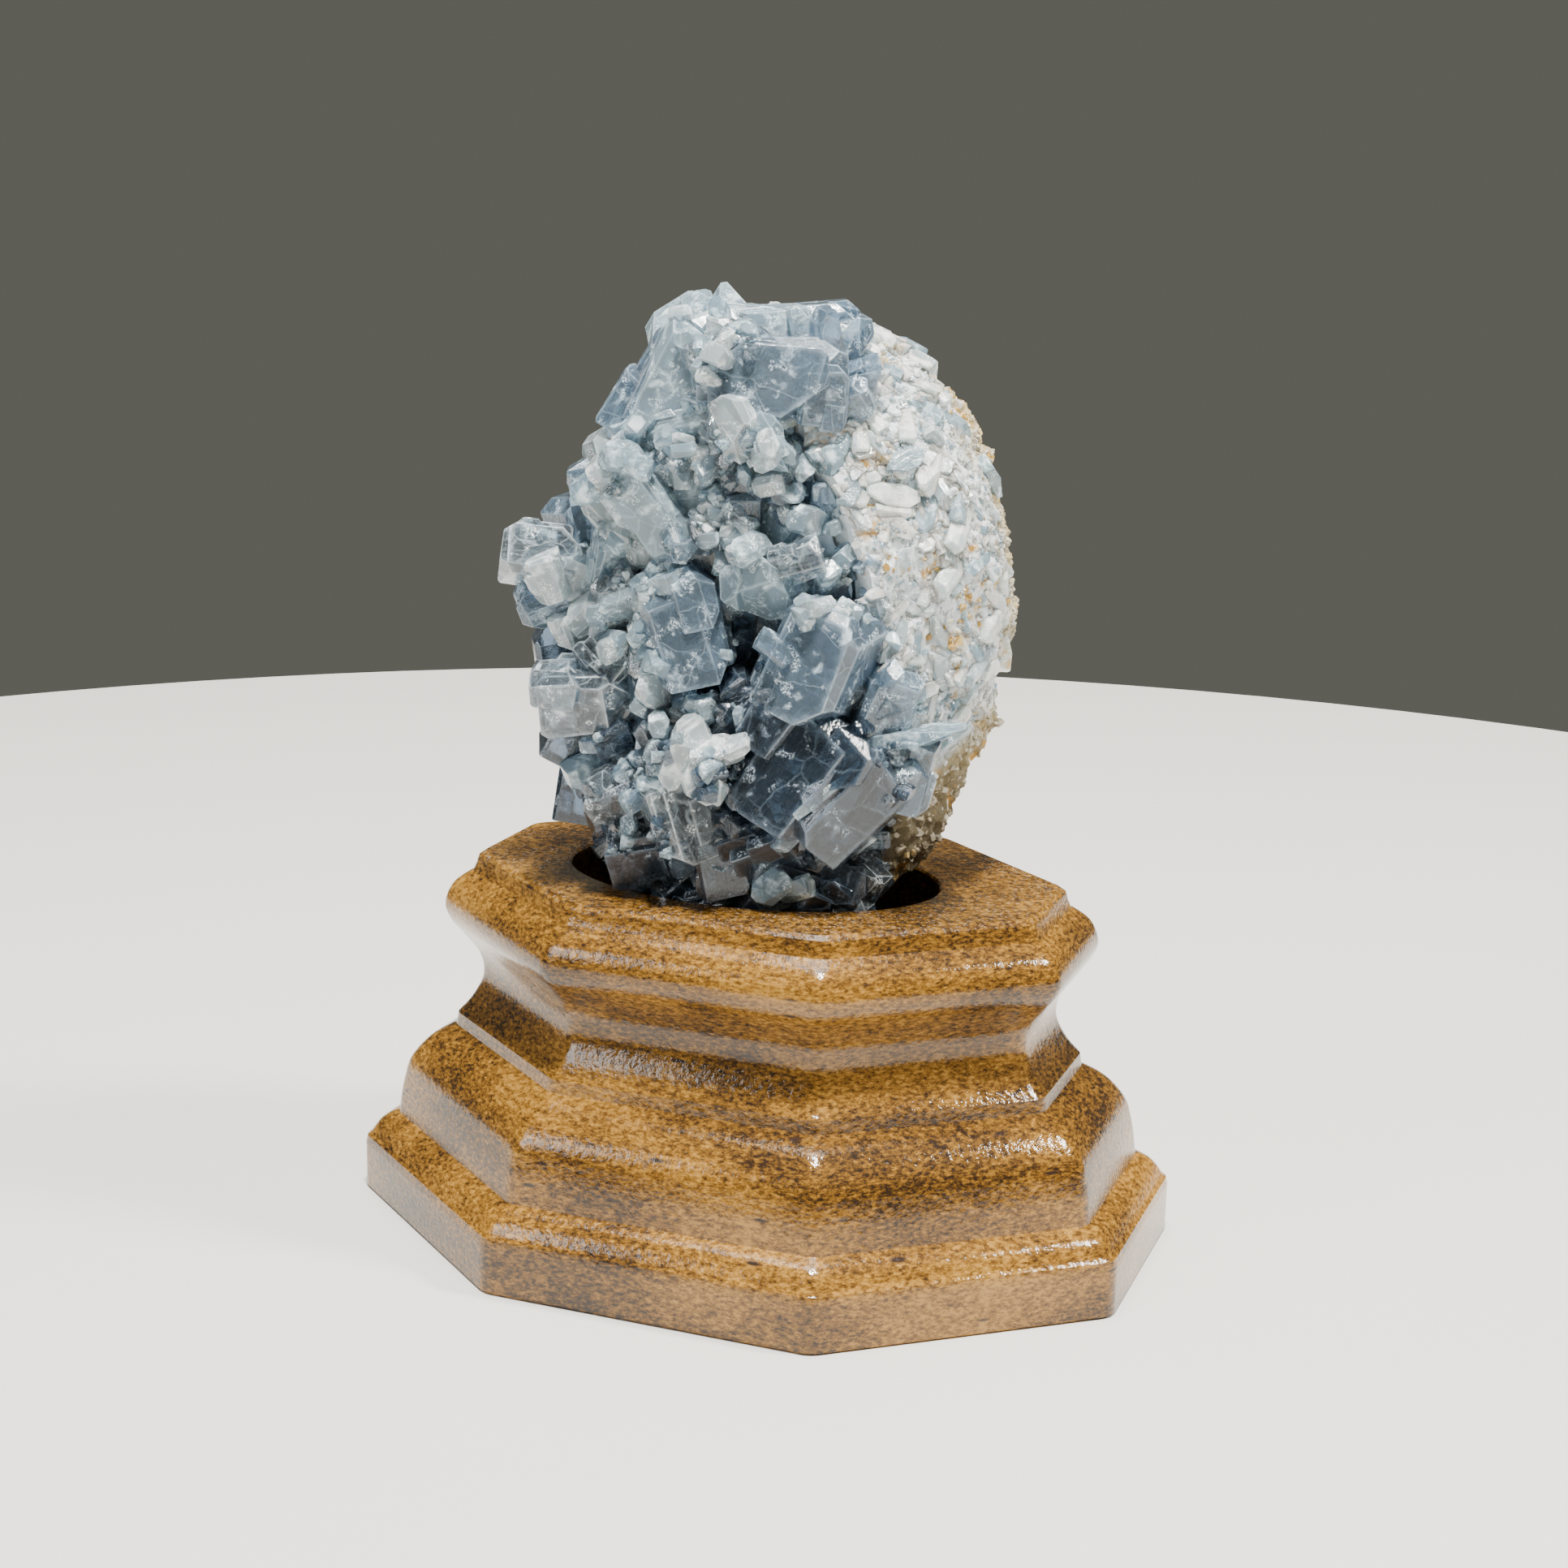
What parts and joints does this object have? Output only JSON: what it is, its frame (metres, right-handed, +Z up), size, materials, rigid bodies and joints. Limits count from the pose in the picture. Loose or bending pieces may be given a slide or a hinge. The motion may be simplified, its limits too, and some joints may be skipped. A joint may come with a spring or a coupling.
{
  "type": "celestite cluster on a wooden stand",
  "caption": "Celestite crystal cluster, a broken nodule with blocky pale blue crystals and rough wall rock, resting in the oval recess of a moulded octagonal stand.",
  "frame": {"origin": "middle of the stand's underside, on the surface it stands on", "axes": "+Z up, +X along the stand's long side, -Y towards the front, the side of the crystals"},
  "size_m": [0.12, 0.0908, 0.141],
  "materials": {
    "stand": "clear-varnished fibreboard, glossy",
    "matrix": "rough, sugary wall rock with ochre stains",
    "celestite": "natural crystal faces, clear to milky pale blue"
  },
  "bodies": {
    "root": {"stand": "stand", "matrix": "matrix", "celestite_crystals": "celestite"}
  },
  "joints": []
}
